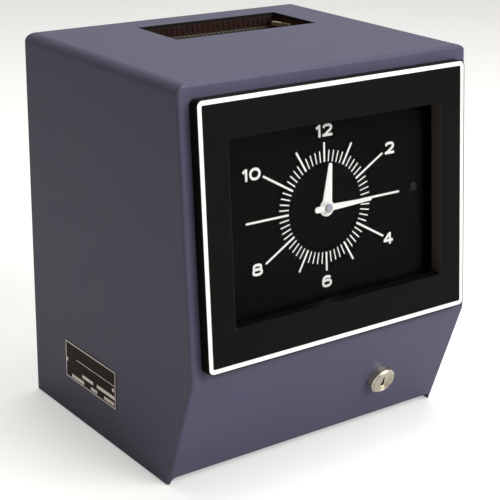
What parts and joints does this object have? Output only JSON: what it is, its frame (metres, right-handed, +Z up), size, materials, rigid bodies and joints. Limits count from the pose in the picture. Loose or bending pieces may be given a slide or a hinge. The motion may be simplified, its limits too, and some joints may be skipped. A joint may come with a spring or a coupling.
{
  "type": "time clock",
  "caption": "Table time clock with a sloping dial face, a card throat in its top, a key lock on its chin and a hood that swings up from its rear top edge.",
  "frame": {"origin": "on the table, below the middle of the bounding box", "axes": "+X right as seen from the front, -Y the front, +Z up"},
  "size_m": [0.2551, 0.2324, 0.294],
  "materials": {
    "enamel": "semi-gloss slate-blue baked enamel",
    "bezel_black": "semi-gloss moulded black",
    "white_line": "white enamel",
    "crystal_glass": "clear, polished",
    "steel": "rolled, zinc plated",
    "zinc": "turned, plated",
    "brass": "satin",
    "dial_black": "matt black with white figures",
    "plate_black": "black etched plate",
    "dark_metal": "black lacquered",
    "throat_brown": "dark brown laminate",
    "rubber": "matt",
    "ribbon": "inked woven ribbon"
  },
  "bodies": {
    "chassis": {"base_plate": "steel", "rubber_feet": "rubber", "back_plate": "steel", "case_screws": "zinc", "cord_grommet": "rubber", "lock_strike": "steel", "card_throat": "throat_brown", "card_guide_rear": "steel", "card_guide_front": "steel", "card_guide_rails": "steel", "card_stop": "throat_brown", "frame_plate_left": "steel", "frame_plate_right": "steel", "frame_pillars": "zinc", "frame_screws": "zinc", "movement_back_plate": "brass", "movement_front_plate": "brass", "dial_posts": "brass", "dial_plate": "dial_black", "dial_motor": "zinc", "main_motor": "zinc", "motor_standoffs": "zinc", "hammer_shaft": "steel", "solenoid": "dark_metal", "ink_ribbon": "ribbon", "trigger_switch": "dark_metal", "transformer": "dark_metal"},
    "cover": {"housing_cover": "enamel", "bezel": "bezel_black", "bezel_trim": "white_line", "crystal": "crystal_glass", "crystal_clips": "steel", "bezel_screws": "zinc", "hinge_studs": "steel", "rating_plate": "plate_black", "plate_rivets": "zinc", "lock_barrel": "zinc", "lock_nut": "zinc"},
    "lock": {"lock_plug": "zinc", "lock_cam": "steel"},
    "minute_arbor": {"centre_arbor": "brass", "minute_hand": "white_line", "hand_cap": "zinc"},
    "minute_wheel": {"minute_wheel": "brass"},
    "hour_works": {"hour_wheel": "brass", "hour_hand": "white_line"},
    "dial_pinion": {"dial_pinion": "brass"},
    "type_shaft": {"type_shaft": "steel", "drive_wheel": "brass", "minute_type_wheel": "brass"},
    "motor_pinion": {"motor_pinion": "brass"},
    "hour_type": {"hour_type_wheel": "brass"},
    "date_type": {"date_type_wheel": "brass"},
    "month_type": {"month_type_wheel": "brass"},
    "hammer": {"hammer": "steel", "hammer_pad": "rubber"},
    "plunger": {"solenoid_plunger": "steel"},
    "upper_spool": {"upper_spool": "ribbon"},
    "lower_spool": {"lower_spool": "ribbon"},
    "trigger": {"trigger_lever": "steel"}
  },
  "joints": [
    {"name": "cover_hinge", "type": "hinge", "parent": "chassis", "child": "cover", "pos_m": [0, 0.11022, 0.288], "axis": [-1, 0, 0], "range_deg": [0, 70]},
    {"name": "lock_turn", "type": "hinge", "parent": "cover", "child": "lock", "pos_m": [0.057, -0.09243, 0.043], "axis": [0, 0.9466, 0.3225], "range_deg": [0, 90]},
    {"name": "minute_hand_turn", "type": "hinge", "parent": "chassis", "child": "minute_arbor", "pos_m": [0, -0.09995, 0.19056], "axis": [0, 0.9961, -0.0883], "continuous": true},
    {"name": "minute_wheel_turn", "type": "hinge", "parent": "chassis", "child": "minute_wheel", "pos_m": [-0.018, -0.09995, 0.19056], "axis": [0, 0.9961, -0.0883], "continuous": true},
    {"name": "hour_hand_turn", "type": "hinge", "parent": "chassis", "child": "hour_works", "pos_m": [0, -0.09995, 0.19056], "axis": [0, 0.9961, -0.0883], "continuous": true},
    {"name": "dial_pinion_turn", "type": "hinge", "parent": "chassis", "child": "dial_pinion", "pos_m": [0, -0.10218, 0.16546], "axis": [0, 0.9961, -0.0883], "continuous": true},
    {"name": "type_shaft_turn", "type": "hinge", "parent": "chassis", "child": "type_shaft", "pos_m": [0, 0.04532, 0.19], "axis": [1, 0, 0], "continuous": true},
    {"name": "motor_pinion_turn", "type": "hinge", "parent": "chassis", "child": "motor_pinion", "pos_m": [0, 0.04532, 0.16], "axis": [1, 0, 0], "continuous": true},
    {"name": "hour_type_turn", "type": "hinge", "parent": "chassis", "child": "hour_type", "pos_m": [0, 0.04532, 0.19], "axis": [1, 0, 0], "continuous": true},
    {"name": "date_type_turn", "type": "hinge", "parent": "chassis", "child": "date_type", "pos_m": [0, 0.04532, 0.19], "axis": [1, 0, 0], "continuous": true},
    {"name": "month_type_turn", "type": "hinge", "parent": "chassis", "child": "month_type", "pos_m": [0, 0.04532, 0.19], "axis": [1, 0, 0], "continuous": true},
    {"name": "hammer_swing", "type": "hinge", "parent": "chassis", "child": "hammer", "pos_m": [0, 0.09422, 0.112], "axis": [1, 0, 0], "range_deg": [0, 8], "stiffness_Nm_per_rad": 0.2, "springref_deg": -17.19},
    {"name": "plunger_slide", "type": "slide", "parent": "chassis", "child": "plunger", "axis": [0, 1, 0], "range_m": [0, 0.0072]},
    {"name": "upper_spool_turn", "type": "hinge", "parent": "chassis", "child": "upper_spool", "pos_m": [0, 0.04192, 0.232], "axis": [1, 0, 0], "continuous": true},
    {"name": "lower_spool_turn", "type": "hinge", "parent": "chassis", "child": "lower_spool", "pos_m": [0, 0.04192, 0.148], "axis": [1, 0, 0], "continuous": true},
    {"name": "trigger_press", "type": "hinge", "parent": "chassis", "child": "trigger", "pos_m": [0, 0.05222, 0.092], "axis": [-1, 0, 0], "range_deg": [0, 12], "stiffness_Nm_per_rad": 0.01, "springref_deg": -17.19}
  ],
  "couplings": [
    {"joint": "minute_wheel_turn", "follows": "minute_hand_turn", "ratio": -0.33333},
    {"joint": "hour_hand_turn", "follows": "minute_hand_turn", "ratio": 0.083333},
    {"joint": "dial_pinion_turn", "follows": "minute_hand_turn", "ratio": -5},
    {"joint": "motor_pinion_turn", "follows": "type_shaft_turn", "ratio": -4},
    {"joint": "hour_type_turn", "follows": "type_shaft_turn", "ratio": 0.041667},
    {"joint": "plunger_slide", "follows": "hammer_swing", "m_per_rad": 0.05},
    {"joint": "lower_spool_turn", "follows": "upper_spool_turn", "ratio": 1}
  ]
}
